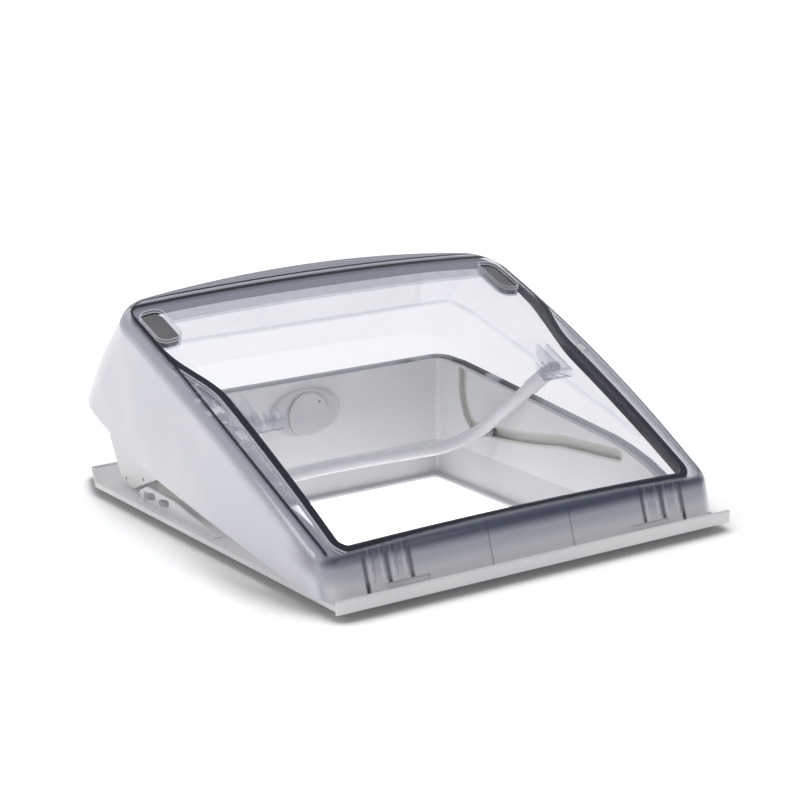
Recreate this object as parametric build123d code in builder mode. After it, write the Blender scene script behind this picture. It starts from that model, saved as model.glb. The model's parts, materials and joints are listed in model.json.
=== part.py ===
"""Roof vent cover: a wedge-shaped double-skin dome hinged along its front edge, on a square base frame for
a 400 x 400 mm roof opening, with a U-shaped bail that slides in the side walls and holds the dome open.

Millimetres, +Z up, +X to the right seen from the hinge side, +Y towards the tall end. The origin is the
centre of the base flange, on its underside. The dome stands ajar at rest. Its pieces are drawn in the
closed position, on planes of the tilted frame DOME, and the bail's on planes of the frame BAIL.
"""

import os
from math import atan2, cos, degrees, hypot, radians, sin, tan

from build123d import *

os.makedirs("parts", exist_ok=True)

SIDES = {"left": -1, "right": 1}

# Base frame
FLANGE_X, FLANGE_Y, FLANGE_T = 475.0, 533.0, 3.0
CORNER_CUT_X, CORNER_CUT_Y = 24.5, 56.5
RIM_T, RIM_TOP = 2.5, 5.0
LIP_T, LIP_H = 4.5, 12.6
OPENING, OPENING_Y, OPENING_R = 400.0, -15.0, 6.0
WALL = 3.0
PARTING_Z, LINING_Z = -11.0, -55.0
FRONT_Y, REAR_Y = OPENING_Y - OPENING / 2, OPENING_Y + OPENING / 2
COLLAR_TOP = [
    (-240, 33), (-213, 33), (-180, 46.5), (-150, 54.5), (-125, 59), (127, 83), (150, 85), (215, 85),
]
COLLAR_LIP, COLLAR_LIP_T = 12.0, 2.5
SEAL_FROM, SEAL_TO, SEAL_H = 7.0, 13.0, 3.5

# Lining below the roof: walls, an inward ledge and a ceiling flange, held up by long screws
CEILING_W, LEDGE_W, LINING_T = 26.0, 9.0, 3.0
SCREW_X, SCREW_Y, SCREW_R, PILLAR_R = 211.0, (-165.0, -15.0, 135.0), 2.0, 5.0
HEAD_R, HEAD_H = 3.8, 2.0
SCREW_PLACES = [(side * SCREW_X, y) for side in SIDES.values() for y in SCREW_Y]

# Wing plates and ribbed rails that stand on the flange beside the collar
SHIELD_X, SHIELD_T, RAIL_X, RAIL_T = 214.0, 2.5, 222.0, 2.5
SHIELD_OUTLINE = [(216, 54), (192, 12), (166, 5.8), (144, 15.4), (110, 30), (84, 42), (84, 62)]
RAIL_OUTLINE = [(137, 3), (137, 13), (122, 20), (66, 19), (38, 14), (-25, 5), (-25, 3)]
SHIELD_HOLES, SHIELD_HOLE_R = [(181, 13.5), (143, 21.5)], 2.1
SHIELD_FEET, SHIELD_FOOT_R = [(165, 36), (98, 50)], 4.0
RAIL_SLOTS, RAIL_SLOT_L, RAIL_SLOT_W, RAIL_SLOT_TURN = [(114, 11.5), (85, 11.5)], 22.0, 8.0, -12
PAD_Y, PAD_W, PAD_L, PAD_H, RIB_Y, RIB_W, RIB_H, RIB_T = 56.0, 9.0, 160.0, 1.6, 126.0, 7.0, 12.0, 2.0

# Moulded boss on the rear wall
BOSS_X, BOSS_Z, BOSS_W, BOSS_H, BOSS_T, BOSS_EDGE = 14.0, 49.0, 92.0, 56.0, 6.0, 3.5
CAP_R, CAP_T, CAP_STEP, CAP_EDGE, CAP_HOLE_R = 25.0, 3.0, 2.0, 1.5, 1.5

# Hinge and rest pose of the dome
HINGE_Y, HINGE_Z = -248.0, 8.0
DOME_OPEN = 8.7
DOME = Plane(Pos(0, HINGE_Y, HINGE_Z) * Rot(DOME_OPEN, 0, 0) * Pos(0, -HINGE_Y, -HINGE_Z))
PIN_R, PIN_PLAY, KNUCKLE_R, KNUCKLE_GAP = 1.75, 0.05, 4.0, 0.4
HINGE_X, KNUCKLE_BASE, KNUCKLE_DOME = 150.0, 12.0, 24.0
HINGE_LENGTH = 2 * (KNUCKLE_BASE + KNUCKLE_GAP) + KNUCKLE_DOME
BASE_LEAF = [(-248, 4), (-222, 3), (-222, 5), (-245, 5.5)]
BASE_PAD_Y, BASE_PAD_W, BASE_PAD_T = -229.0, 14.0, 2.0
DOME_LEAF_LOW, DOME_LEAF_HIGH, DOME_LEAF_GAP, DOME_LEAF_T = 1.0, 25.0, 0.05, 2.15

# Closed dome: sections across X at its front end, its ridge and its rear end
FRONT_END, RIDGE, REAR_END = -330.0, 172.0, 258.0
FACE_SLOPE = 0.2688
FACE_Z = 47.2 + FACE_SLOPE * 220.1
RIDGE_Z, REAR_END_Z = FACE_Z + FACE_SLOPE * RIDGE, 8.0
CROWN_X, CROWN_FRONT, CROWN_RIDGE = 242.0, 1.6, 19.0
FACE_BULGE, BULGE_Y, REAR_BULGE = 9.5, -30.0, 7.0
SIDE_AT_FOOT, SIDE_AT_HEAD, SIDE_MIDDLE = (239.0, 245.5, 241.5), (240.0, 250.5, 242.5), -20.0
SIDE_HEAD_Z = 110.0
WALL_FOOT, WALL_HEAD = (-252.4, 12.4), (-233.6, 49.0)
SKIN, SKIRT_Z, SKIRT_REAR_Z = 3.0, 1.0, 32.0
SKIRT_FRONT, SKIRT_BEND, SKIRT_REAR = -228.0, 40.0, 252.0
FRONT_WALL_BOTTOM, HINGE_NOTCH_TOP = 8.0, 13.5
CORNER_FILLET, REAR_FILLET, EDGE_FILLET = 24.0, 48.0, 18.0
FLUTE_X, FLUTE_PITCH, FLUTE_W, FLUTE_H, FLUTE_DEPTH = 150.1, 12.85, 9.0, 34.0, 1.2

# Window: a gasket between the skins, the inner dome under it, and vent plugs in the rear corners
GASKET_TOP, GASKET_BOTTOM, GASKET_W = 3.3, 11.0, 6.0
WINDOW_SIDE = [((213, -226), 6), ((212, -20), 150), ((234.5, 78), 150), ((234.5, 156), 16)]
WINDOW_REAR = ((0, 137), 1500)
PANE_T, RIM_GAP = 2.2, 0.2
INNER_X, INNER_FRONT, INNER_REAR = 207.0, -217.0, 192.0
INNER_RIDGE_Y, INNER_RIDGE_Z, INNER_RIM_Z = 150.0, 145.0, 88.5
PLUG_X, PLUG_Y, PLUG_W, PLUG_L, PLUG_R, PLUG_TOP, CUP_T = 216.5, 119.0, 24.0, 51.0, 9.0, 5.0, 2.0
STOPPER_X, STOPPER_Y, STOPPER_R = 224.0, -28.0, 5.0

# Bail: pivot in the closed dome's frame, arm down to the guide pin, and the bend beyond it
PIVOT_X, PIVOT_Y, PIVOT_Z = 194.0, -21.6, 89.0
GUIDE_Y, GUIDE_Z = 82.0, 20.5
BAIL_R, BAIL_BORE = 7.3, 5.4
BEND_X, BEND_S, BOW_S, BEND_R, BOW_R = 176.0, 178.0, 165.0, 50.0, 500.0
BAIL_RATIO, DOME_MIN, DOME_MAX = -2.6, -8.7, 20.0
GUIDE_PIN_R, ROLLER_R, GROOVE_R, TRACK_R, TRACK_PLAY = 2.5, 4.2, 5.2, 7.5, 0.2
TRACK_DEPTH, GROOVE_DEPTH, GROOVE_FRONT = 8.0, 6.0, (-140, 46.5)
GROOVE_ENTRY = [(117, 19), (129, 30), (136, 48), (138, 60), (138, 92)]
ROLLER_GAP, ROLLER_T, GUIDE_PIN_REACH, COLLAR_R, COLLAR_GAP = 0.4, 4.6, 5.4, 4.0, 0.4
EYE_R, EYE_T, EYE_PIN_R, SLEEVE_R, SLEEVE_FROM, SLEEVE_TO = 6.2, 8.0, 2.5, 8.8, 18.0, 44.0
EAR_T, EAR_GAP = 3.0, 0.4
EAR_OUTLINE = [(-45, 125), (-45, 86), (-28, 82.5), (-15, 82.5), (2, 97), (2, 125)]
FIN_OUTLINE = [(-45, 125), (-45, 92), (-38, 88), (-30, 91), (-26, 104), (-26, 125)]
FIN_T, FIN_PITCH, FIN_COUNT, WEB_Y, WEB_T, WEB_Z = 2.2, 7.5, 3, -42.5, 5.0, 86.0

FROM_BELOW = (Align.CENTER, Align.CENTER, Align.MIN)


def save(builder, name):
    builder.part.label = name
    export_step(builder.part, f"parts/{name}.step")


def tilted(y, z, angle):
    """A point of the YZ plane, turned about the dome's hinge."""
    c, s = cos(radians(angle)), sin(radians(angle))
    dy, dz = y - HINGE_Y, z - HINGE_Z
    return HINGE_Y + c * dy - s * dz, HINGE_Z + s * dy + c * dz


PIVOT_REST = tilted(PIVOT_Y, PIVOT_Z, DOME_OPEN)
ARM = hypot(GUIDE_Y - PIVOT_REST[0], GUIDE_Z - PIVOT_REST[1])
ARM_ANGLE = degrees(atan2(GUIDE_Z - PIVOT_REST[1], GUIDE_Y - PIVOT_REST[0]))
BAIL = Plane(Pos(0, *PIVOT_REST) * Rot(ARM_ANGLE, 0, 0))


def guide_at(turn):
    """Where the guide pin is when the dome has turned from rest and the bail with it."""
    y, z = tilted(*PIVOT_REST, turn)
    angle = radians(ARM_ANGLE + (1 + BAIL_RATIO) * turn)
    return y + ARM * cos(angle), z + ARM * sin(angle)


# ---------------------------------------------------------------- base body


def collar_band(inner, outer, low, high):
    """A ring round the opening that follows the collar's top line, between two heights over it."""
    with BuildPart() as band:
        with BuildSketch():
            with Locations((0, OPENING_Y)):
                RectangleRounded(OPENING + 2 * outer, OPENING + 2 * outer, OPENING_R + outer)
                RectangleRounded(
                    OPENING + 2 * inner, OPENING + 2 * inner, OPENING_R + inner, mode=Mode.SUBTRACT
                )
        extrude(amount=FLANGE_X / 4)
        with BuildSketch(Plane.YZ):
            with BuildLine():
                edge = [(y, z + high) for y, z in COLLAR_TOP] + [(y, z + low) for y, z in COLLAR_TOP[::-1]]
                Polyline(*edge, close=True)
            make_face()
        extrude(amount=FLANGE_X / 2, both=True, mode=Mode.INTERSECT)
    return band.part


def groove_line():
    """The guide pin's path down the wall: an arc over the bail's travel, run on towards the front."""
    start, middle, end = (guide_at(t) for t in (DOME_MIN, (DOME_MIN + DOME_MAX) / 2, DOME_MAX))
    travel = ThreePointArc(start, middle, end)
    return [travel, Line(end, GROOVE_FRONT), Polyline(*GROOVE_ENTRY)]


def groove(width, plane, depth):
    with BuildPart() as cut:
        with BuildSketch(plane):
            with BuildLine():
                lines = groove_line()
            trace(lines, width)
            with Locations(guide_at(DOME_MIN), GROOVE_FRONT, guide_at(DOME_MAX), *GROOVE_ENTRY[1:3]):
                Circle(width / 2)
        extrude(amount=depth)
    return cut.part


with BuildPart() as collar:
    with BuildSketch(Plane.XY.offset(PARTING_Z)):
        with Locations((0, OPENING_Y)):
            RectangleRounded(OPENING + 2 * WALL, OPENING + 2 * WALL, OPENING_R + WALL)
    extrude(amount=FLANGE_X / 4)
    with BuildSketch(Plane.YZ):
        with BuildLine():
            Polyline(*COLLAR_TOP, (215, 200), (-240, 200), close=True)
        make_face()
    extrude(amount=FLANGE_X / 2, both=True, mode=Mode.SUBTRACT)

with BuildPart() as outer_frame:
    with BuildSketch():
        with BuildLine():
            x, y = FLANGE_X / 2, FLANGE_Y / 2
            right_side = [(x, -y), (x, y - CORNER_CUT_Y), (x - CORNER_CUT_X, y)]
            Polyline(*right_side, *[(-px, py) for px, py in right_side[::-1]], close=True)
        make_face()
    extrude(amount=RIM_TOP)
    with BuildSketch(Plane.XY.offset(FLANGE_T)):
        with BuildLine():
            x, y = FLANGE_X / 2 - RIM_T, FLANGE_Y / 2 - RIM_T
            right_side = [(x, -y - 2 * RIM_T), (x, y - CORNER_CUT_Y), (x - CORNER_CUT_X, y)]
            Polyline(*right_side, *[(-px, py) for px, py in right_side[::-1]], close=True)
        make_face()
    extrude(amount=RIM_TOP, mode=Mode.SUBTRACT)
    add(collar.part)
    add(collar_band(WALL, COLLAR_LIP, -COLLAR_LIP_T, 0))
    with BuildSketch(Plane.XY.offset(PARTING_Z)):
        with Locations((0, OPENING_Y)):
            RectangleRounded(OPENING, OPENING, OPENING_R)
    extrude(amount=FLANGE_X, mode=Mode.SUBTRACT)
    with Locations(*[(x, y, PARTING_Z) for x, y in SCREW_PLACES]):
        Cylinder(PILLAR_R, -PARTING_Z, align=FROM_BELOW)
        Cylinder(SCREW_R, -2 * PARTING_Z, mode=Mode.SUBTRACT)
    for side in SIDES.values():
        wall_face = Plane.YZ.offset(side * OPENING / 2 - (WALL if side < 0 else 0))
        add(groove(2 * (TRACK_R + TRACK_PLAY), wall_face, WALL), mode=Mode.SUBTRACT)
save(outer_frame, "outer_frame")

with BuildPart() as front_lip:
    with BuildSketch():
        with Locations((0, -FLANGE_Y / 2 - LIP_T / 2)):
            SlotOverall(FLANGE_X + 2 * LIP_T, LIP_T)
    extrude(amount=LIP_H)
    fillet(front_lip.edges().group_by(Axis.Z)[-1], 1.2)
save(front_lip, "front_lip")

with BuildPart() as collar_seal:
    add(collar_band(SEAL_FROM, SEAL_TO, 0.05, SEAL_H))
save(collar_seal, "collar_seal")

for name, side in SIDES.items():
    track_face = Plane.YZ.offset(side * OPENING / 2 - (0 if side > 0 else TRACK_DEPTH))
    groove_face = Plane.YZ.offset(side * OPENING / 2 - (0 if side > 0 else GROOVE_DEPTH))
    with BuildPart() as guide_track:
        add(groove(2 * TRACK_R, track_face, TRACK_DEPTH))
        add(groove(2 * GROOVE_R, groove_face, GROOVE_DEPTH), mode=Mode.SUBTRACT)
        with BuildSketch(Plane.YZ):
            with BuildLine():
                under_lip = [(y, z - COLLAR_LIP_T - 0.1) for y, z in COLLAR_TOP]
                Polyline(*under_lip, (215, 200), (-240, 200), close=True)
            make_face()
        extrude(amount=FLANGE_X / 2, both=True, mode=Mode.SUBTRACT)
    save(guide_track, f"guide_track_{name}")

with BuildPart() as inner_frame:
    with BuildSketch(Plane.XY.offset(LINING_Z)):
        with Locations((0, OPENING_Y)):
            RectangleRounded(OPENING + 2 * CEILING_W, OPENING + 2 * CEILING_W, CEILING_W)
    extrude(amount=LINING_T)
    with BuildSketch(Plane.XY.offset(LINING_Z)):
        with Locations((0, OPENING_Y)):
            RectangleRounded(OPENING + 2 * WALL, OPENING + 2 * WALL, OPENING_R + WALL)
    extrude(amount=PARTING_Z - LINING_Z)
    with Locations(*[(x, y, LINING_Z) for x, y in SCREW_PLACES]):
        Cylinder(PILLAR_R, PARTING_Z - LINING_Z, align=FROM_BELOW)
        Cylinder(SCREW_R + 0.2, 2 * FLANGE_X, mode=Mode.SUBTRACT)
        Cylinder(HEAD_R + 0.2, 2 * HEAD_H, mode=Mode.SUBTRACT)
    with BuildSketch(Plane.XY.offset(LINING_Z + LINING_T)):
        with Locations((0, OPENING_Y)):
            RectangleRounded(OPENING, OPENING, OPENING_R)
    extrude(amount=PARTING_Z - LINING_Z, mode=Mode.SUBTRACT)
    with BuildSketch(Plane.XY.offset(LINING_Z)):
        with Locations((0, OPENING_Y)):
            RectangleRounded(OPENING - 2 * LEDGE_W, OPENING - 2 * LEDGE_W, OPENING_R)
    extrude(amount=LINING_T, mode=Mode.SUBTRACT)
save(inner_frame, "inner_frame")

with BuildPart() as frame_screws:
    with Locations(*[(x, y, LINING_Z) for x, y in SCREW_PLACES]):
        Cylinder(SCREW_R, -LINING_Z - 2, align=FROM_BELOW)
        Cylinder(HEAD_R, HEAD_H, align=FROM_BELOW)
save(frame_screws, "frame_screws")

for name, side in SIDES.items():
    with BuildPart() as side_shield:
        with BuildSketch(Plane.YZ.offset(side * SHIELD_X - SHIELD_T / 2)) as wing:
            with BuildLine():
                Polyline(*SHIELD_OUTLINE, close=True)
            make_face()
            fillet(wing.vertices().sort_by(Axis.Y)[:2], 8)
            with Locations(*SHIELD_HOLES):
                Circle(SHIELD_HOLE_R, mode=Mode.SUBTRACT)
        extrude(amount=SHIELD_T)
        inner_face = SHIELD_X - SHIELD_T / 2 - OPENING / 2 - WALL
        with BuildSketch(Plane.YZ.offset(side * (OPENING / 2 + WALL))):
            with Locations(*SHIELD_FEET):
                Circle(SHIELD_FOOT_R)
        extrude(amount=side * inner_face)
    save(side_shield, f"side_shield_{name}")

    with BuildPart() as side_rail:
        with BuildSketch(Plane.YZ.offset(side * RAIL_X - RAIL_T / 2)) as web:
            with BuildLine():
                Polyline(*RAIL_OUTLINE, close=True)
            make_face()
            fillet(web.vertices().sort_by(Axis.Y)[-2:], 4)
            with Locations(*RAIL_SLOTS):
                SlotOverall(RAIL_SLOT_L, RAIL_SLOT_W, rotation=RAIL_SLOT_TURN, mode=Mode.SUBTRACT)
        extrude(amount=RAIL_T)
        with BuildSketch(Plane.XY.offset(FLANGE_T)):
            with Locations((side * RAIL_X, PAD_Y)):
                RectangleRounded(PAD_W, PAD_L, 2)
        extrude(amount=PAD_H)
        with BuildSketch(Plane.XZ.offset(-RIB_Y)):
            with Locations((side * RAIL_X, FLANGE_T + RIB_H / 2)):
                Rectangle(RIB_W, RIB_H)
        extrude(amount=RIB_T)
    save(side_rail, f"side_rail_{name}")

with BuildPart() as rear_boss:
    with BuildSketch(Plane.XZ.offset(-REAR_Y)):
        with Locations((BOSS_X, BOSS_Z)):
            Ellipse(BOSS_W / 2, BOSS_H / 2)
    extrude(amount=BOSS_T)
    fillet(rear_boss.faces().sort_by(Axis.Y)[0].edges(), BOSS_EDGE)
    with BuildSketch(Plane.XZ.offset(-REAR_Y + BOSS_T)):
        with Locations((BOSS_X, BOSS_Z)):
            Circle(CAP_R - CAP_STEP)
    extrude(amount=CAP_STEP)
    with BuildSketch(Plane.XZ.offset(-REAR_Y + BOSS_T + CAP_STEP)):
        with Locations((BOSS_X, BOSS_Z)):
            Circle(CAP_R - 3 * CAP_STEP)
    extrude(amount=-2 * CAP_STEP, mode=Mode.SUBTRACT)
save(rear_boss, "rear_boss")

with BuildPart() as boss_cap:
    with BuildSketch(Plane.XZ.offset(-REAR_Y + BOSS_T + CAP_STEP)):
        with Locations((BOSS_X, BOSS_Z)):
            Circle(CAP_R)
            with Locations((CAP_R * 0.55, CAP_R * 0.55)):
                Circle(CAP_HOLE_R, mode=Mode.SUBTRACT)
    extrude(amount=CAP_T)
    fillet(boss_cap.faces().sort_by(Axis.Y)[0].edges().sort_by(SortBy.LENGTH)[-1:], CAP_EDGE)
save(boss_cap, "boss_cap")

# ---------------------------------------------------------------- hinges

WALL_RUN = Vector(WALL_HEAD[0] - WALL_FOOT[0], WALL_HEAD[1] - WALL_FOOT[1]).normalized()
WALL_IN = Vector(WALL_RUN.Y, -WALL_RUN.X)


def on_front_wall(depth, height):
    """A point of the closed dome's YZ plane, by its depth in from the front wall and its run up it."""
    return tuple(Vector(*WALL_FOOT) + WALL_IN * depth + WALL_RUN * height)[:2]


def barrel(plane, radius, length):
    """A round bar on the hinge axis."""
    with BuildPart() as bar:
        with BuildSketch(plane):
            with Locations((HINGE_Y, HINGE_Z)):
                Circle(radius)
        extrude(amount=length)
    return bar.part


for name, side in SIDES.items():
    middle = side * HINGE_X
    low_x = middle - KNUCKLE_DOME / 2 - KNUCKLE_GAP - KNUCKLE_BASE
    high_x = middle + KNUCKLE_DOME / 2 + KNUCKLE_GAP

    with BuildPart() as hinge_base:
        for start in (low_x, high_x):
            add(barrel(Plane.YZ.offset(start), KNUCKLE_R, KNUCKLE_BASE))
            with BuildSketch(Plane.YZ.offset(start)):
                with BuildLine():
                    Polyline(*BASE_LEAF, close=True)
                make_face()
            extrude(amount=KNUCKLE_BASE)
        with BuildSketch(Plane.XY.offset(FLANGE_T)):
            with Locations((middle, BASE_PAD_Y)):
                RectangleRounded(HINGE_LENGTH, BASE_PAD_W, 3)
        extrude(amount=BASE_PAD_T)
        add(barrel(Plane.YZ.offset(low_x), PIN_R, HINGE_LENGTH), mode=Mode.SUBTRACT)
    save(hinge_base, f"hinge_base_{name}")

    with BuildPart() as hinge_dome:
        barrel_plane = DOME * Plane.YZ.offset(middle - KNUCKLE_DOME / 2)
        add(barrel(barrel_plane, KNUCKLE_R, KNUCKLE_DOME))
        with BuildSketch(barrel_plane):
            with BuildLine():
                near, far = SKIN + DOME_LEAF_GAP, SKIN + DOME_LEAF_GAP + DOME_LEAF_T
                Polyline(
                    on_front_wall(near, DOME_LEAF_LOW), on_front_wall(near, DOME_LEAF_HIGH),
                    on_front_wall(far, DOME_LEAF_HIGH), on_front_wall(far, DOME_LEAF_LOW), close=True,
                )
            make_face()
        extrude(amount=KNUCKLE_DOME)
        add(barrel(barrel_plane, PIN_R + PIN_PLAY, KNUCKLE_DOME), mode=Mode.SUBTRACT)
    save(hinge_dome, f"hinge_dome_{name}")

    with BuildPart() as hinge_pin:
        add(barrel(Plane.YZ.offset(low_x), PIN_R, HINGE_LENGTH))
    save(hinge_pin, f"hinge_pin_{name}")


# ---------------------------------------------------------------- dome body (drawn closed)

FACE_TILT, REAR_TILT = atan2(FACE_SLOPE, 1), atan2(RIDGE_Z - REAR_END_Z, REAR_END - RIDGE)
RIDGE_SLOPE = FACE_SLOPE - 2 * FACE_BULGE / (RIDGE - BULGE_Y)
RIDGE_BACK = (cos(FACE_TILT) / sin(REAR_TILT) - 1 / tan(REAR_TILT)) / (1 + RIDGE_SLOPE / tan(REAR_TILT))


def face_top(y):
    """Height of the closed dome's face along its side edge: a slope with a shallow bulge on it."""
    return FACE_Z + FACE_SLOPE * y + FACE_BULGE * (1 - ((y - BULGE_Y) / (RIDGE - BULGE_Y)) ** 2)


def across(y, z, crown, drop):
    """A section across X under a crowned top edge."""
    with BuildSketch(DOME * Plane.XZ.offset(-y)) as section:
        with BuildLine():
            reach = CROWN_X + 20
            edge = z - drop - crown * ((reach / CROWN_X) ** 2 - 1)
            ThreePointArc((-reach, edge), (0, z + crown - drop), (reach, edge))
            Polyline((reach, edge), (reach, -60), (-reach, -60), (-reach, edge))
        make_face()
    return section.sketch


def under_face(drop):
    """Everything under the crowned face and rear wall, each lowered by a drop measured along Z."""
    rear_drop = drop * cos(FACE_TILT) / sin(REAR_TILT)
    ridge_y = RIDGE - RIDGE_BACK * drop
    middle_y, middle_z = (RIDGE + REAR_END) / 2, (RIDGE_Z + REAR_END_Z) / 2
    front = across(FRONT_END, face_top(FRONT_END), CROWN_FRONT, drop)
    middle = across(BULGE_Y, face_top(BULGE_Y), (CROWN_FRONT + CROWN_RIDGE) / 2 + 1, drop)
    ridge = across(ridge_y, face_top(ridge_y), CROWN_RIDGE, drop)
    back_y = middle_y + REAR_BULGE * sin(REAR_TILT) - rear_drop
    back = across(back_y, middle_z + REAR_BULGE * cos(REAR_TILT), CROWN_RIDGE, 0)
    rear = across(REAR_END - rear_drop, REAR_END_Z, CROWN_RIDGE, 0)
    with BuildPart() as below:
        loft([front, middle, ridge])
        loft([ridge, back, rear])
    return below.part


def between_sides(inset):
    """The space between the dome's barrelled side walls, behind its front wall."""
    with BuildPart() as inside:
        for z in (-60, 240):
            share = z / SIDE_HEAD_Z
            front, middle, rear = (
                foot + (head - foot) * share - inset for foot, head in zip(SIDE_AT_FOOT, SIDE_AT_HEAD)
            )
            with BuildSketch(DOME * Plane.XY.offset(z)):
                with BuildLine():
                    ThreePointArc((front, FRONT_END), (middle, SIDE_MIDDLE), (rear, REAR_END + 20))
                    Line((rear, REAR_END + 20), (-rear, REAR_END + 20))
                    ThreePointArc((-rear, REAR_END + 20), (-middle, SIDE_MIDDLE), (-front, FRONT_END))
                    Line((-front, FRONT_END), (front, FRONT_END))
                make_face()
        loft(ruled=True)
        with BuildSketch(DOME * Plane.YZ):
            with BuildLine():
                wall_low, wall_high = on_front_wall(inset, -90), on_front_wall(inset, 250)
                Polyline(wall_low, wall_high, (-400, 250), (-400, -80), close=True)
            make_face()
        extrude(amount=FLANGE_X, both=True, mode=Mode.SUBTRACT)
    return inside.part


def face_layer(top, bottom):
    """A layer of the crowned face and rear wall, between two drops below the dome's outside."""
    with BuildPart() as layer:
        add(under_face(top))
        add(under_face(bottom), mode=Mode.SUBTRACT)
    return layer.part


def dome_blank(inset):
    """The dome's rounded outside moved in by an inset, solid, with its foot below the skirt."""
    with BuildPart() as blank:
        add(between_sides(inset))
        add(under_face(inset / cos(FACE_TILT)), mode=Mode.INTERSECT)
        corners = blank.edges().filter_by(lambda e: abs(e.center().X) > 200 and e.center().Y < -240)
        fillet(corners, CORNER_FILLET - inset)
        rear_corners = blank.edges().filter_by(lambda e: abs(e.center().X) > 200 and e.center().Y > 160)
        fillet(rear_corners.filter_by(lambda e: e.length > 60 and e.center().Z > 30), REAR_FILLET - inset)
        ridges = blank.edges().filter_by(lambda e: e.length > 100 and e.center().Z > 45)
        fillet(ridges.filter_by(lambda e: e.center().Y < 240), EDGE_FILLET - inset)
    return blank.part


def window(grow):
    """The window's outline, wider at the rear than at the waist, moved out by an offset."""
    far_side = [((-x, y), radius) for (x, y), radius in WINDOW_SIDE[::-1]]
    corners = WINDOW_SIDE + [WINDOW_REAR] + far_side
    with BuildSketch(DOME * Plane.XY) as pane:
        with BuildLine():
            FilletPolyline(*[point for point, _ in corners], radius=[r for _, r in corners], close=True)
        make_face()
        offset(amount=grow, mode=Mode.REPLACE)
    return pane.sketch


with BuildPart() as outer_dome:
    add(dome_blank(0))
    add(dome_blank(SKIN), mode=Mode.SUBTRACT)
    with BuildSketch(DOME * Plane.YZ):
        with BuildLine():
            skirt = Line((SKIRT_FRONT, SKIRT_Z), (SKIRT_BEND, SKIRT_Z))
            rise = TangentArc(skirt @ 1, (SKIRT_REAR, SKIRT_REAR_Z), tangent=skirt % 1)
            rear = Line(rise @ 1, (300, SKIRT_REAR_Z))
            wall_foot = (SKIRT_FRONT - 18, FRONT_WALL_BOTTOM)
            Polyline(rear @ 1, (300, -80), (-300, -80), (-300, FRONT_WALL_BOTTOM), wall_foot, skirt @ 0)
        make_face()
    extrude(amount=FLANGE_X, both=True, mode=Mode.SUBTRACT)
    with BuildSketch(DOME * Plane.XY):
        with Locations((-HINGE_X, HINGE_Y), (HINGE_X, HINGE_Y)):
            Rectangle(HINGE_LENGTH + 2, 4 * KNUCKLE_R)
    extrude(amount=HINGE_NOTCH_TOP, mode=Mode.SUBTRACT)
    for side in SIDES.values():
        wall_lean = degrees(atan2(WALL_RUN.Y, WALL_RUN.X))
        wall = Plane(Pos(0, *on_front_wall(0, 0)) * Rot(wall_lean, 0, 0))
        with BuildSketch(DOME * wall):
            with GridLocations(FLUTE_PITCH, 0, 4, 1):
                with Locations((side * (FLUTE_X + 1.5 * FLUTE_PITCH), 4 + FLUTE_H / 2)):
                    SlotOverall(FLUTE_H, FLUTE_W, rotation=90)
        extrude(amount=-FLUTE_DEPTH, mode=Mode.SUBTRACT)
save(outer_dome, "outer_dome")

closed_collar = collar_band(WALL, COLLAR_LIP + 4, -COLLAR_LIP, SEAL_H + RIM_GAP).moved(DOME.location)

with BuildPart() as pane_seal:
    extrude(window(GASKET_W / 2), amount=FLANGE_X)
    extrude(window(-GASKET_W / 2), amount=FLANGE_X, mode=Mode.SUBTRACT)
    add(face_layer(GASKET_TOP, GASKET_BOTTOM), mode=Mode.INTERSECT)
    add(dome_blank(SKIN), mode=Mode.INTERSECT)
    add(closed_collar, mode=Mode.SUBTRACT)
save(pane_seal, "pane_seal")


def inner_blank(inset):
    """The inner dome's outside moved in by an inset: upright walls, and a leaning rear wall."""
    lean = (INNER_REAR - INNER_RIDGE_Y) / (INNER_RIDGE_Z - INNER_RIM_Z)
    rear, front, high = INNER_REAR - inset, INNER_FRONT + inset, 250
    with BuildPart() as blank:
        with BuildSketch(DOME * Plane.YZ):
            with BuildLine():
                top_rear = (rear - lean * (high - INNER_RIM_Z), high)
                Polyline(
                    (front, 0), (front, high), top_rear, (rear, INNER_RIM_Z), (rear, 0), close=True
                )
            make_face()
        extrude(amount=INNER_X - inset, both=True)
        add(under_face(GASKET_BOTTOM + inset), mode=Mode.INTERSECT)
    return blank.part


with BuildPart() as top_plate:
    extrude(window(GASKET_W / 2), amount=FLANGE_X)
    add(face_layer(GASKET_BOTTOM, GASKET_BOTTOM + PANE_T), mode=Mode.INTERSECT)

with BuildPart() as rim:
    rim_low, rim_high = SEAL_H + RIM_GAP, SEAL_H + RIM_GAP + PANE_T
    add(collar_band(WALL + 2, COLLAR_LIP, rim_low, rim_high).moved(DOME.location))
    add(under_face(GASKET_BOTTOM), mode=Mode.INTERSECT)

with BuildPart() as inner_dome:
    add(inner_blank(0))
    add(inner_blank(PANE_T), mode=Mode.SUBTRACT)
    with BuildSketch(DOME * Plane.YZ):
        with BuildLine():
            over_seal = [(y, z + SEAL_H + RIM_GAP) for y, z in COLLAR_TOP]
            Polyline(*over_seal, (215, -20), (-240, -20), close=True)
        make_face()
    extrude(amount=FLANGE_X, both=True, mode=Mode.SUBTRACT)
    add(rim.part)
    add(top_plate.part)
    add(closed_collar, mode=Mode.SUBTRACT)
save(inner_dome, "inner_dome")


def face_patch(outline, top, bottom):
    """A piece of a face layer over an outline."""
    with BuildPart() as patch:
        extrude(outline, amount=FLANGE_X)
        add(face_layer(top, bottom), mode=Mode.INTERSECT)
    return patch.part


def plug_outline(side, grow):
    with BuildSketch(DOME * Plane.XY) as outline:
        with Locations((side * PLUG_X, PLUG_Y)):
            RectangleRounded(PLUG_W + 2 * grow, PLUG_L + 2 * grow, PLUG_R + grow)
    return outline.sketch


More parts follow.
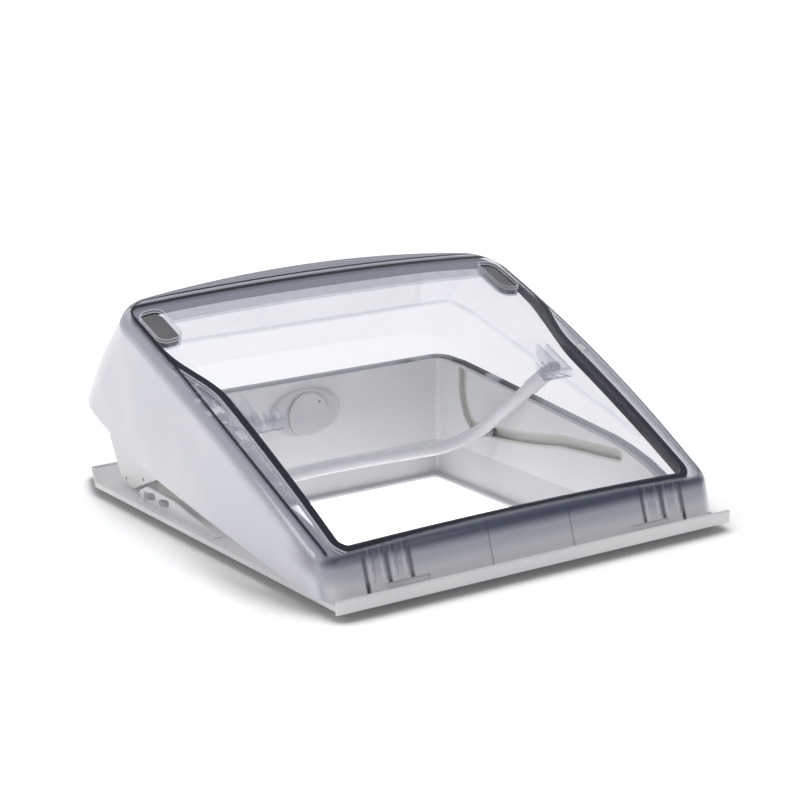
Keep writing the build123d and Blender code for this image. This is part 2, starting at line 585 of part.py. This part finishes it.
for name, side in SIDES.items():
    with BuildPart() as plug_cup:
        add(face_patch(plug_outline(side, CUP_T), PLUG_TOP + 1, GASKET_BOTTOM))
        add(face_patch(plug_outline(side, 0), PLUG_TOP, GASKET_BOTTOM - 1), mode=Mode.SUBTRACT)
    save(plug_cup, f"plug_cup_{name}")

    with BuildPart() as corner_plug:
        add(face_patch(plug_outline(side, -0.1), PLUG_TOP, GASKET_BOTTOM - 1.1))
    save(corner_plug, f"corner_plug_{name}")

with BuildPart() as vent_stopper:
    with BuildSketch(DOME * Plane.XY) as stopper_outline:
        with Locations((STOPPER_X, STOPPER_Y)):
            Circle(STOPPER_R)
    add(face_patch(stopper_outline.sketch, -0.8, -0.02))
save(vent_stopper, "vent_stopper")

# Clear brackets under the inner dome that carry the bail
for name, side in SIDES.items():
    ear_inner, ear_outer = EYE_T / 2 + EAR_GAP, EYE_T / 2 + EAR_GAP + EAR_T
    with BuildPart() as bail_bracket:
        for start in (side * PIVOT_X - ear_outer, side * PIVOT_X + ear_inner):
            with BuildSketch(DOME * Plane.YZ.offset(start)) as ear:
                with BuildLine():
                    Polyline(*EAR_OUTLINE, close=True)
                make_face()
                with Locations((PIVOT_Y, PIVOT_Z)):
                    Circle(EYE_PIN_R, mode=Mode.SUBTRACT)
            extrude(amount=EAR_T)
        for step in range(1, FIN_COUNT + 1):
            fin_x = side * (PIVOT_X - ear_outer - step * FIN_PITCH)
            with BuildSketch(DOME * Plane.YZ.offset(fin_x - FIN_T / 2)) as fin:
                with BuildLine():
                    Polyline(*FIN_OUTLINE, close=True)
                make_face()
                fillet(fin.vertices().sort_by(Axis.Z)[:2], 2.5)
            extrude(amount=FIN_T)
        web_from, web_to = PIVOT_X - ear_outer - FIN_COUNT * FIN_PITCH, PIVOT_X + ear_inner
        with BuildSketch(DOME * Plane.YZ.offset(side * web_from)):
            with Locations((WEB_Y, WEB_Z)):
                Rectangle(WEB_T, 2 * EAR_OUTLINE[0][1] - 2 * WEB_Z, align=(Align.CENTER, Align.MIN))
        extrude(amount=side * (web_to - web_from))
        add(under_face(GASKET_BOTTOM + PANE_T + 0.05), mode=Mode.INTERSECT)
    save(bail_bracket, f"bail_bracket_{name}")

    with BuildPart() as bracket_pin:
        with BuildSketch(DOME * Plane.YZ.offset(side * PIVOT_X - ear_outer)):
            with Locations((PIVOT_Y, PIVOT_Z)):
                Circle(EYE_PIN_R)
        extrude(amount=2 * ear_outer)
    save(bracket_pin, f"bracket_pin_{name}")

# ---------------------------------------------------------------- bail body

arm_lean = atan2(PIVOT_X - BEND_X, BEND_S)
with BuildPart() as bail_tube:
    with BuildLine() as bail_line:
        corners = [
            BAIL.from_local_coords((x, s, 0))
            for x, s in (
                (PIVOT_X - SLEEVE_FROM * tan(arm_lean), SLEEVE_FROM),
                (BEND_X, BEND_S),
                (0, BOW_S),
                (-BEND_X, BEND_S),
                (-PIVOT_X + SLEEVE_FROM * tan(arm_lean), SLEEVE_FROM),
            )
        ]
        FilletPolyline(*corners, radius=[BEND_R, BOW_R, BEND_R])
    with BuildSketch(Plane(origin=bail_line.line @ 0, z_dir=bail_line.line % 0)):
        Circle(BAIL_R)
        Circle(BAIL_BORE, mode=Mode.SUBTRACT)
    sweep(path=bail_line.line)
    for side in SIDES.values():
        with BuildSketch(BAIL * Plane.YZ.offset(side * (PIVOT_X - ARM * tan(arm_lean)))):
            with Locations((ARM, 0)):
                Circle(GUIDE_PIN_R)
        extrude(amount=side * 2 * BAIL_R, mode=Mode.SUBTRACT)
save(bail_tube, "bail_tube")

for name, side in SIDES.items():
    along_arm = (-side * sin(arm_lean), cos(arm_lean), 0)
    arm_line = Plane(BAIL * Plane(origin=(side * PIVOT_X, 0, 0), x_dir=(0, 0, 1), z_dir=along_arm))
    with BuildPart() as bail_end:
        with BuildSketch(arm_line.offset(SLEEVE_FROM - 3)):
            Circle(SLEEVE_R)
        extrude(amount=SLEEVE_TO - SLEEVE_FROM + 3)
        with BuildSketch(arm_line.offset(SLEEVE_FROM)):
            Circle(BAIL_R)
        extrude(amount=SLEEVE_TO, mode=Mode.SUBTRACT)
        with BuildSketch(BAIL * Plane.YZ.offset(side * PIVOT_X - EYE_T / 2)):
            Circle(EYE_R)
            with Locations((SLEEVE_FROM / 2 - 0.5, 0)):
                Rectangle(SLEEVE_FROM - 1, 2 * EYE_R)
            Circle(EYE_PIN_R + PIN_PLAY, mode=Mode.SUBTRACT)
        extrude(amount=EYE_T)
    save(bail_end, f"bail_end_{name}")

    tube_x = PIVOT_X - ARM * tan(arm_lean)
    with BuildPart() as guide_pin:
        pin_steps = (
            (tube_x + 2, OPENING / 2 + GUIDE_PIN_REACH, GUIDE_PIN_R),
            (tube_x + BAIL_R + 1, OPENING / 2 - COLLAR_GAP, COLLAR_R),
        )
        for start, end, radius in pin_steps:
            with BuildSketch(BAIL * Plane.YZ.offset(side * start)):
                with Locations((ARM, 0)):
                    Circle(radius)
            extrude(amount=side * (end - start))
    save(guide_pin, f"guide_pin_{name}")

    with BuildPart() as guide_roller:
        with BuildSketch(BAIL * Plane.YZ.offset(side * (OPENING / 2 + ROLLER_GAP))):
            with Locations((ARM, 0)):
                Circle(ROLLER_R)
                Circle(GUIDE_PIN_R + PIN_PLAY, mode=Mode.SUBTRACT)
        extrude(amount=side * ROLLER_T)
    save(guide_roller, f"guide_roller_{name}")
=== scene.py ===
"""Looks of the roof vent cover: materials, the dome's clear skins, studio floor, light and camera."""

import json
from math import cos, radians, sin

import bpy
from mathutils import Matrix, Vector

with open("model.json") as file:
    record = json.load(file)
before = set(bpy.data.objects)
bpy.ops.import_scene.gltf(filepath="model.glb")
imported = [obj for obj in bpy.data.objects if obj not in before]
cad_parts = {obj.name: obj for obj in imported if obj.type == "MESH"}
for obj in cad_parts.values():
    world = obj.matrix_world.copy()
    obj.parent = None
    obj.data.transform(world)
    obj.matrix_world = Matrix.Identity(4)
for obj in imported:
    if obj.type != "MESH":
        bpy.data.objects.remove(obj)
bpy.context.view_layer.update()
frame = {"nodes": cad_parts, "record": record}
nodes = frame["nodes"]

# The dome's hinge, and how far it stands open at rest
HINGE = Vector((0, -0.248, 0.008))
OPEN_ANGLE = radians(8.7)

# Lines of the closed dome in plan, in the frame's metres: the window, which widens towards the rear, the
# crease outside it, the corner plugs, and the front wall's flutes and seams. A line bends by its bow times
# the squared distance from its middle
WINDOW_FRONT, WINDOW_REAR, WINDOW_CORNER = -0.2275, 0.1415, 0.012
WAIST_Y, WAIST_HALF, HEAD_Y, HEAD_HALF = -0.015, 0.211, 0.080, 0.2335
REAR_BOW = 0.27
CREASE_FRONT, CREASE_REAR, CREASE_CORNER = -0.40, 0.1530, 0.022
CREASE_HALF, CREASE_MIDDLE, CREASE_BOW = 0.2375, -0.02, 0.16
RIDGE_FROM, RIDGE_TO = 0.1445, 0.1475
STRIP_FROM, STRIP_TO = 0.108, 0.150
PLUG_X, PLUG_HALF, PLUG_FRONT, PLUG_REAR, PLUG_CORNER = 0.2165, 0.0120, 0.0935, 0.1445, 0.009
FLUTES_FROM, FLUTES_TO, FLUTE_LINE, FLUTE_HALF_PITCH = 0.1405, 0.1985, 0.1437, 0.0128
SEAM_X = 0.050

# The height of the point on the dome's middle line that its outer face looks away from
INSIDE_Z = 0.04

# ---------------------------------------------------------------- shaders


class Shader:
    """A material's node tree, with short calls to add and join nodes."""

    def __init__(self, name):
        self.material = bpy.data.materials.new(name)
        self.material.use_nodes = True
        self.tree = self.material.node_tree
        self.tree.nodes.clear()
        self.output = self.add("ShaderNodeOutputMaterial")

    def add(self, kind, **settings):
        node = self.tree.nodes.new(kind)
        for key, value in settings.items():
            setattr(node, key, value)
        return node

    def plug(self, value, socket):
        """Sets a socket to a number or colour, or links another socket to it."""
        if isinstance(value, bpy.types.NodeSocket):
            self.tree.links.new(value, socket)
        elif isinstance(value, tuple) and len(value) == 3 and socket.type == "RGBA":
            socket.default_value = (*value, 1)
        else:
            socket.default_value = value

    def math(self, operation, a, b=0.0, clamp=False):
        node = self.add("ShaderNodeMath", operation=operation, use_clamp=clamp)
        self.plug(a, node.inputs[0])
        self.plug(b, node.inputs[1])
        return node.outputs[0]

    def plus(self, a, b):
        return self.math("ADD", a, b)

    def minus(self, a, b):
        return self.math("SUBTRACT", a, b)

    def times(self, value, *factors):
        for factor in factors:
            value = self.math("MULTIPLY", value, factor)
        return value

    def square(self, value):
        return self.math("POWER", value, 2.0)

    def absolute(self, value):
        return self.math("ABSOLUTE", value)

    def larger(self, a, b):
        return self.math("MAXIMUM", a, b)

    def smaller(self, a, b):
        return self.math("MINIMUM", a, b)

    def ramp(self, value, low, high, from_value=0.0, to_value=1.0):
        """A smooth step from one value to another while the input runs from low to high."""
        node = self.add("ShaderNodeMapRange", interpolation_type="SMOOTHSTEP")
        names = ("Value", "From Min", "From Max", "To Min", "To Max")
        for name, number in zip(names, (value, low, high, from_value, to_value)):
            self.plug(number, node.inputs[name])
        return node.outputs["Result"]

    def band(self, value, low, high, soft=0.0004):
        """One between two values, nothing outside them."""
        past_high = self.minus(value, high)
        return self.times(self.ramp(value, low - soft, low + soft), self.ramp(past_high, soft, -soft))

    def mix(self, factor, a, b):
        """A colour between two colours."""
        node = self.add("ShaderNodeMix", data_type="RGBA")
        self.plug(factor, node.inputs["Factor"])
        self.plug(a, node.inputs[6])
        self.plug(b, node.inputs[7])
        return node.outputs[2]

    def mix_value(self, factor, a, b):
        """A number between two numbers."""
        node = self.add("ShaderNodeMix", data_type="FLOAT")
        self.plug(factor, node.inputs["Factor"])
        self.plug(a, node.inputs[2])
        self.plug(b, node.inputs[3])
        return node.outputs[0]

    def place(self):
        return self.add("ShaderNodeTexCoord").outputs["Object"]

    def split(self, vector):
        node = self.add("ShaderNodeSeparateXYZ")
        self.plug(vector, node.inputs["Vector"])
        return node.outputs["X"], node.outputs["Y"], node.outputs["Z"]

    def noise(self, scale, detail=3.0):
        node = self.add("ShaderNodeTexNoise")
        self.plug(self.place(), node.inputs["Vector"])
        self.plug(scale, node.inputs["Scale"])
        self.plug(detail, node.inputs["Detail"])
        return node.outputs["Fac"]

    def grazing(self):
        """Nothing where a face is seen square on, one where it is seen edge on."""
        node = self.add("ShaderNodeLayerWeight")
        self.plug(0.5, node.inputs["Blend"])
        return node.outputs["Facing"]

    def bump(self, height, strength, distance):
        node = self.add("ShaderNodeBump")
        self.plug(height, node.inputs["Height"])
        self.plug(strength, node.inputs["Strength"])
        self.plug(distance, node.inputs["Distance"])
        return node.outputs["Normal"]

    def surface(self, **inputs):
        node = self.add("ShaderNodeBsdfPrincipled")
        for name, value in inputs.items():
            self.plug(value, node.inputs[name.replace("_", " ")])
        return node.outputs["BSDF"]

    def clear(self, tint, reflect, roughness=0.03):
        """A clear film: what is behind it, tinted, and a Fresnel reflection on top."""
        see = self.add("ShaderNodeBsdfTransparent")
        self.plug(tint, see.inputs["Color"])
        gloss = self.add("ShaderNodeBsdfGlossy")
        self.plug((0.95, 0.96, 1.0), gloss.inputs["Color"])
        self.plug(roughness, gloss.inputs["Roughness"])
        edge_on = self.math("POWER", self.grazing(), 5.0)
        mirror = self.plus(self.times(edge_on, 0.9 * reflect), 0.035 * reflect)
        return self.blend(mirror, see.outputs["BSDF"], gloss.outputs["BSDF"])

    def blend(self, factor, a, b):
        node = self.add("ShaderNodeMixShader")
        self.plug(factor, node.inputs[0])
        self.plug(a, node.inputs[1])
        self.plug(b, node.inputs[2])
        return node.outputs[0]

    def finish(self, shader):
        self.plug(shader, self.output.inputs["Surface"])
        return self.material


def moulded(name, light, dark, roughness, grain, grain_depth, specular=0.5):
    """Moulded plastic or rubber: broad colour drift, fine grain and slightly uneven gloss."""
    s = Shader(name)
    drift = s.noise(9, 4)
    return s.finish(s.surface(
        Base_Color=s.mix(s.ramp(drift, 0.3, 0.7), dark, light),
        Roughness=s.ramp(drift, 0.25, 0.75, roughness * 0.85, roughness * 1.15),
        Specular_IOR_Level=specular,
        Normal=s.bump(s.noise(grain, 2), 0.25, grain_depth),
    ))


def collar_rubber(name):
    """The collar's seal: pale grey, with painted shade in dark glossy patches round its right rear corner."""
    s = Shader(name)
    x, y, _ = s.split(s.place())
    # Painted shade: dark patches near the seal's right rear corner
    painted_shade_patches = s.times(s.ramp(x, 0.13, 0.19), s.ramp(y, -0.06, 0.07), s.ramp(s.noise(16), 0.44, 0.56))
    return s.finish(s.surface(
        Base_Color=s.mix(painted_shade_patches, (0.58, 0.59, 0.62), (0.03, 0.033, 0.045)), Roughness=0.18,
    ))


def clear_film(name, tint, reflect, haze_colour, haze, haze_from=0.55):
    """A thin clear skin with a little haze that shows at its edges."""
    s = Shader(name)
    solid = s.surface(Base_Color=haze_colour, Roughness=0.12, Specular_IOR_Level=0.5)
    amount = s.times(s.ramp(s.grazing(), haze_from, 1.0), haze)
    return s.finish(s.blend(amount, s.clear(tint, reflect), solid))


# ---------------------------------------------------------------- outer dome


class DomeShader(Shader):
    """A shader that knows places, normals and drawn lines of the closed dome."""

    def __init__(self, name):
        super().__init__(name)
        self.x, self.y, self.z = self.closed(self.place(), tuple(HINGE))
        self.nx, self.ny, self.nz = self.closed(self.add("ShaderNodeTexCoord").outputs["Normal"], (0, 0, 0))
        self.wide, self.sideways = self.absolute(self.x), self.absolute(self.nx)
        self.side = self.ramp(self.sideways, 0.30, 0.75)
        self.front = self.ramp(self.ny, -0.45, -0.75)
        self.rear = self.ramp(self.ny, 0.25, 0.7)

        bow = self.times(self.square(self.x), self.ramp(self.y, -0.1, 0.1, 0.0, REAR_BOW))
        self.straight_y = self.minus(self.y, bow)
        self.behind = self.ramp(self.straight_y, RIDGE_FROM, RIDGE_TO)
        window_half = self.ramp(self.y, WAIST_Y, HEAD_Y, WAIST_HALF, HEAD_HALF)
        self.window_edge = self.box_distance(
            self.wide, self.straight_y, window_half, WINDOW_FRONT, WINDOW_REAR, WINDOW_CORNER
        )
        barrel = self.times(self.square(self.minus(self.y, CREASE_MIDDLE)), CREASE_BOW)
        crease_half = self.minus(CREASE_HALF, barrel)
        self.crease_edge = self.box_distance(
            self.wide, self.straight_y, crease_half, CREASE_FRONT, CREASE_REAR, CREASE_CORNER
        )

    def closed(self, vector, centre):
        """A vector of the dome at rest, turned back with the dome to where it is closed."""
        turn = self.add("ShaderNodeVectorRotate", rotation_type="X_AXIS")
        self.plug(vector, turn.inputs["Vector"])
        self.plug(centre, turn.inputs["Center"])
        self.plug(-OPEN_ANGLE, turn.inputs["Angle"])
        return self.split(turn.outputs["Vector"])

    def box_distance(self, across, along, half, front, rear, corner):
        """Distance outside a rounded rectangle in the dome's plan, negative inside it."""
        middle, reach = (front + rear) / 2, (rear - front) / 2 - corner
        past_side = self.plus(self.minus(across, half), corner)
        past_end = self.minus(self.absolute(self.minus(along, middle)), reach)
        corner_side, corner_end = self.larger(past_side, 0.0), self.larger(past_end, 0.0)
        outer = self.math("SQRT", self.plus(self.square(corner_side), self.square(corner_end)))
        inner = self.smaller(self.larger(past_side, past_end), 0.0)
        return self.minus(self.plus(outer, inner), corner)

    def outside(self):
        """One on the dome's outer face, nothing on its inner face."""
        upward = self.times(self.nz, self.minus(self.z, INSIDE_Z))
        outward = self.plus(self.times(self.nx, self.x), self.plus(self.times(self.ny, self.y), upward))
        return self.ramp(outward, -0.002, 0.002)


def side_wall(s):
    """The side walls: pale and cloudy, with painted shade that makes them greyer by the crease and dark at
    the front corner.
    """
    pale = s.mix(s.ramp(s.noise(5), 0.35, 0.65), (0.66, 0.67, 0.72), (0.80, 0.80, 0.84))
    # Painted shade: a dark patch at the lower front corner
    painted_corner_shade = s.times(s.ramp(s.y, -0.175, -0.225), s.ramp(s.z, 0.018, 0.034), 0.8)
    pale = s.mix(painted_corner_shade, pale, (0.26, 0.255, 0.30))
    # Painted shade where the wall turns towards the crease, by its normal
    return s.mix(s.ramp(s.sideways, 0.985, 0.80), pale, (0.47, 0.48, 0.54))


def border(s):
    """Smoke between the window and the crease, with painted glints on the left, and a band over the ridge
    with painted shade, darker where it faces the rear.
    """
    smoke = s.mix(s.ramp(s.window_edge, 0.006, 0.014), (0.50, 0.52, 0.58), (0.34, 0.36, 0.43))
    # Painted highlights: glints in the smoke on the left
    glints = s.times(s.ramp(s.noise(75, 4), 0.55, 0.62), s.band(s.y, -0.075, 0.035, 0.02))
    smoke = s.mix(s.times(glints, s.ramp(s.nx, 0.0, -0.02)), smoke, (0.86, 0.88, 0.93))
    # Painted shade over the ridge: darker where its normal turns to the rear
    ridge = s.mix(s.ramp(s.ny, -0.20, 0.20), (0.40, 0.41, 0.47), (0.20, 0.21, 0.27))
    return s.mix(s.behind, smoke, ridge)


def front_wall(s):
    """The front wall: light at its foot and dark above, with flutes near its ends, painted highlights between
    the flutes and painted shade in their grooves, and two seams.
    """
    wall = s.mix(s.ramp(s.z, 0.012, 0.030), (0.84, 0.84, 0.86), (0.46, 0.47, 0.53))
    wall = s.mix(s.ramp(s.z, 0.030, 0.041), wall, (0.06, 0.07, 0.12))
    wall = s.mix(s.ramp(s.z, 0.042, 0.050), wall, (0.16, 0.17, 0.23))
    fluted = s.band(s.wide, FLUTES_FROM, FLUTES_TO)
    from_line = s.math("PINGPONG", s.minus(s.wide, FLUTE_LINE), FLUTE_HALF_PITCH)
    # Painted highlights: light streaks between the flutes
    light = s.times(s.band(from_line, 0.0050, 0.0072, 0.0012), fluted)
    wall = s.mix(s.times(light, s.ramp(s.z, 0.034, 0.026, 0.10, 0.6)), wall, (0.92, 0.92, 0.94))
    # Painted shade: dark lines in the flutes' grooves
    dark = s.times(s.ramp(from_line, 0.0034, 0.0012), fluted, s.ramp(s.z, 0.012, 0.020, 1.0, 0.75))
    seams = s.times(s.ramp(s.absolute(s.minus(s.wide, SEAM_X)), 0.0010, 0.0003), 0.6)
    return s.mix(s.larger(dark, seams), wall, (0.04, 0.045, 0.07))


def tinted_dome(name):
    """The outer dome: clear over the window, smoky round it, and pale and cloudy down the sides."""
    s = DomeShader(name)
    walls = side_wall(s)
    rear_wall = s.mix(s.ramp(s.z, 0.06, 0.12), (0.60, 0.62, 0.68), (0.26, 0.27, 0.33))
    cover = s.mix(s.side, border(s), walls)
    cover = s.mix(s.front, cover, front_wall(s))
    cover = s.mix(s.rear, cover, s.mix(s.side, rear_wall, walls))
    amount = s.ramp(s.window_edge, 0.006, 0.020, 0.22, 0.60)
    for share, level in ((s.behind, 0.93), (s.side, 0.92), (s.front, 0.90), (s.rear, 0.90)):
        amount = s.mix_value(share, amount, level)

    # Dark and light lines along the window and the crease, and at the silhouette: the dark seal, with painted
    # highlights and painted shade.
    not_front = s.ramp(s.front, 0.5, 0.0)
    flat = s.times(s.ramp(s.sideways, 0.42, 0.30), not_front)
    seal = s.times(s.band(s.window_edge, 0.0, s.ramp(s.behind, 0, 1, 0.0078, 0.0052)), flat)
    # Painted highlight: a light line beside the seal
    rim_light = s.times(s.band(s.window_edge, 0.0084, 0.0102), flat)
    # Painted shade: a dark line in the crease
    crease = s.times(s.band(s.crease_edge, -0.0016, 0.0014, 0.0007), not_front)
    # Painted shade: a dark edge where the left side is seen edge on
    painted_silhouette_shade = s.times(s.ramp(s.grazing(), 0.80, 0.96), s.ramp(s.nx, -0.3, 0.0))
    # Painted glare at the rear corner: a white strip of painted highlight with painted dark edges
    painted_rear_glare = s.times(s.ny, s.ramp(s.sideways, 0.3, 0.5))
    cover = s.mix(rim_light, cover, (0.78, 0.80, 0.85))
    cover = s.mix(painted_silhouette_shade, cover, (0.05, 0.055, 0.09))
    cover = s.mix(s.band(painted_rear_glare, 0.36, 0.66, 0.04), cover, (0.42, 0.43, 0.48))
    cover = s.mix(s.band(painted_rear_glare, 0.42, 0.60, 0.04), cover, (0.95, 0.95, 0.97))
    cover = s.mix(s.larger(seal, crease), cover, (0.006, 0.008, 0.022))
    for share, level in ((rim_light, 0.80), (s.times(crease, 0.95), 0.97), (seal, 1.0)):
        amount = s.mix_value(share, amount, level)
    amount = s.times(amount, s.ramp(s.window_edge, -0.0008, 0.0))

    # Over the clear window: a lavender strip below the ridge, and a painted highlight ring round each corner
    # plug
    in_window = s.ramp(s.window_edge, 0.0, -0.001)
    from_plug = s.absolute(s.minus(s.wide, PLUG_X))
    plug_edge = s.box_distance(from_plug, s.y, PLUG_HALF, PLUG_FRONT, PLUG_REAR, PLUG_CORNER)
    strip = s.times(s.band(s.straight_y, STRIP_FROM, STRIP_TO), in_window, s.ramp(plug_edge, 0.0, 0.001))
    # Painted highlight: a light ring round each plug's cup
    painted_plug_rim_highlight = s.times(s.band(plug_edge, 0.0008, 0.0024), in_window)
    cover = s.mix(strip, cover, (0.46, 0.48, 0.58))
    cover = s.mix(painted_plug_rim_highlight, cover, (0.80, 0.82, 0.86))
    amount = s.larger(s.larger(amount, s.times(strip, 0.42)), s.times(painted_plug_rim_highlight, 0.75))
    amount = s.math("MULTIPLY", amount, s.outside(), clamp=True)

    solid = s.surface(
        Base_Color=cover, Roughness=0.14, Specular_IOR_Level=0.5, Coat_Weight=0.5, Coat_Roughness=0.04
    )
    return s.finish(s.blend(amount, s.clear((0.992, 0.992, 0.996), 0.8), solid))


# ---------------------------------------------------------------- materials

MATERIALS = {
    "frame_white": moulded("frame_white", (0.86, 0.86, 0.86), (0.80, 0.80, 0.81), 0.34, 900, 0.0001),
    "lining_grey": moulded("lining_grey", (0.74, 0.74, 0.75), (0.66, 0.66, 0.68), 0.42, 1400, 0.00012),
    "seal_rubber": collar_rubber("seal_rubber"),
    "window_gasket": moulded(
        "window_gasket", (0.010, 0.013, 0.034), (0.004, 0.005, 0.012), 0.16, 500, 0.0001, 0.35
    ),
    "track_cream": moulded("track_cream", (0.72, 0.70, 0.66), (0.62, 0.60, 0.56), 0.4, 900, 0.0001),
    "screw_steel": moulded("screw_steel", (0.55, 0.55, 0.56), (0.40, 0.40, 0.42), 0.3, 500, 0.0001),
    "plug_grey": moulded("plug_grey", (0.20, 0.205, 0.195), (0.14, 0.145, 0.14), 0.5, 1500, 0.00015),
    "bail_plastic": moulded("bail_plastic", (0.84, 0.84, 0.86), (0.76, 0.76, 0.79), 0.25, 800, 0.0001),
    "clear_acrylic": clear_film("clear_acrylic", (0.985, 0.985, 0.99), 0.7, (0.60, 0.62, 0.66), 0.5),
    "tinted_acrylic": tinted_dome("tinted_acrylic"),
}
BRACKET_CLEAR = clear_film("bracket_clear", (0.95, 0.96, 0.98), 2.6, (0.42, 0.44, 0.50), 0.9, 0.3)
slot_of = {entry["node"]: entry["material_slot"] for entry in frame["record"]["subparts"]}


def material_of(name):
    """The material of a node: its slot's, but for the small clear parts and the white hinges."""
    if name.startswith(("bail_bracket", "plug_cup")):
        return BRACKET_CLEAR
    if name.startswith("hinge"):
        return MATERIALS["frame_white"]
    return MATERIALS[slot_of[name]]


for name, node in nodes.items():
    for slot in node.material_slots:
        slot.material = material_of(name)

# ---------------------------------------------------------------- stage

# The floor, the half width and middle of the opening cut in it, and the plane that shows through the opening
FLOOR_REACH, FLOOR_Z = 12.0, -0.008
CUT, CUT_Y = 0.204, -0.015
BELOW_Z = -0.3

# Where the floor's glow starts and stops growing, and how near a surface has to be to paint shadow on the
# floor
NEAR, FAR = 0.5, 2.5
PAINTED_SHADOW_REACH = 0.09


def stage_plane(name, corners, faces, material):
    mesh = bpy.data.meshes.new(name)
    mesh.from_pydata(corners, [], faces)
    piece = bpy.data.objects.new(name, mesh)
    bpy.context.scene.collection.objects.link(piece)
    mesh.materials.append(material)


def plain(name, tone, near_glow, far_glow, cast=1.0):
    """A plain white surface: it glows more far away, has painted shadow with less glow near other surfaces,
    and casts only a share of the glow.
    """
    s = Shader(name)
    seen = s.add("ShaderNodeLightPath").outputs["Is Camera Ray"]
    away = s.add("ShaderNodeVectorMath", operation="LENGTH")
    s.plug(s.place(), away.inputs[0])
    # Painted contact shadow: darker colour and less glow where ambient occlusion finds surfaces nearby
    painted_contact_shadow = s.add("ShaderNodeAmbientOcclusion", samples=24)
    s.plug(PAINTED_SHADOW_REACH, painted_contact_shadow.inputs["Distance"])
    unshadowed_share = s.ramp(painted_contact_shadow.outputs["AO"], 0.45, 0.98)
    glow = s.ramp(away.outputs["Value"], NEAR, FAR, near_glow, far_glow)
    glow = s.times(glow, s.ramp(unshadowed_share, 0, 1, 0.1, 1.0), s.ramp(seen, 0, 1, cast, 1.0))
    return s.finish(s.surface(
        Base_Color=s.mix(unshadowed_share, (0.55 * tone,) * 3, (tone,) * 3), Roughness=0.9, Specular_IOR_Level=0.1,
        Emission_Color=(1.0, 1.0, 1.0), Emission_Strength=glow,
    ))


def square(reach, middle_y=0):
    return [(x * reach, middle_y + y * reach) for x, y in ((-1, -1), (1, -1), (1, 1), (-1, 1))]


floor_corners = [(x, y, FLOOR_Z) for x, y in square(FLOOR_REACH) + square(CUT, CUT_Y)]
floor_faces = [(i, (i + 1) % 4, 4 + (i + 1) % 4, 4 + i) for i in range(4)]
stage_plane("floor", floor_corners, floor_faces, plain("floor_white", 0.95, 0.42, 0.95))
below_corners = [(x, y, BELOW_Z) for x, y in square(FLOOR_REACH)]
stage_plane("below", below_corners, [(0, 1, 2, 3)], plain("below_white", 0.9, 0.95, 0.95, 0.25))

# ---------------------------------------------------------------- light

LIGHT_TARGET = Vector((0, 0, 0.1))


def area_light(name, place, size, power, in_reflections=True):
    light = bpy.data.lights.new(name, "AREA")
    light.shape = "RECTANGLE"
    light.size, light.size_y = size, size
    light.energy = power
    lamp = bpy.data.objects.new(name, light)
    bpy.context.scene.collection.objects.link(lamp)
    lamp.location = place
    lamp.rotation_euler = (LIGHT_TARGET - Vector(place)).to_track_quat("-Z", "Y").to_euler()
    lamp.visible_glossy = in_reflections


area_light("top_light", (0.1, 0.5, 2.2), 2.0, 17, in_reflections=False)
area_light("left_light", (-2.2, 0.2, 1.5), 0.9, 9)
area_light("front_light", (0.9, -2.4, 1.2), 1.2, 3)

# A white backdrop for the camera, and a dimmer, cooler room that lights the part and shows in reflections
world = bpy.data.worlds.new("studio")
world.use_nodes = True
sky = world.node_tree
backdrop = sky.nodes["Background"]
room = sky.nodes.new("ShaderNodeBackground")
seen = sky.nodes.new("ShaderNodeLightPath")
either = sky.nodes.new("ShaderNodeMixShader")
for background, colour, strength in ((backdrop, (1, 1, 1, 1), 1.02), (room, (0.93, 0.96, 1.0, 1), 0.36)):
    background.inputs["Color"].default_value = colour
    background.inputs["Strength"].default_value = strength
sky.links.new(seen.outputs["Is Camera Ray"], either.inputs[0])
sky.links.new(room.outputs[0], either.inputs[1])
sky.links.new(backdrop.outputs[0], either.inputs[2])
sky.links.new(either.outputs[0], sky.nodes["World Output"].inputs["Surface"])
bpy.context.scene.world = world
bpy.context.scene.view_settings.view_transform = "Standard"
bpy.context.scene.cycles.transparent_max_bounces = 40

# ---------------------------------------------------------------- camera

# The camera's turn and rise, its distance from the target, and the target's place to the right and up
CAMERA_TURN, CAMERA_RISE, CAMERA_FAR = radians(34.8266), radians(15.1326), 2.4474
CAMERA_TARGET = Vector((0.01362, 0, 0.1073))
forward = Vector((
    sin(CAMERA_TURN) * cos(CAMERA_RISE), cos(CAMERA_TURN) * cos(CAMERA_RISE), -sin(CAMERA_RISE)
))
right = Vector((cos(CAMERA_TURN), -sin(CAMERA_TURN), 0))
camera_data = bpy.data.cameras.new("camera")
camera_data.lens, camera_data.sensor_width = 104.68, 36
camera_data.clip_end = 60
camera = bpy.data.objects.new("camera", camera_data)
bpy.context.scene.collection.objects.link(camera)
camera.location = right * CAMERA_TARGET.x + Vector((0, 0, CAMERA_TARGET.z)) - forward * CAMERA_FAR
camera.rotation_euler = forward.to_track_quat("-Z", "Y").to_euler()
bpy.context.scene.camera = camera
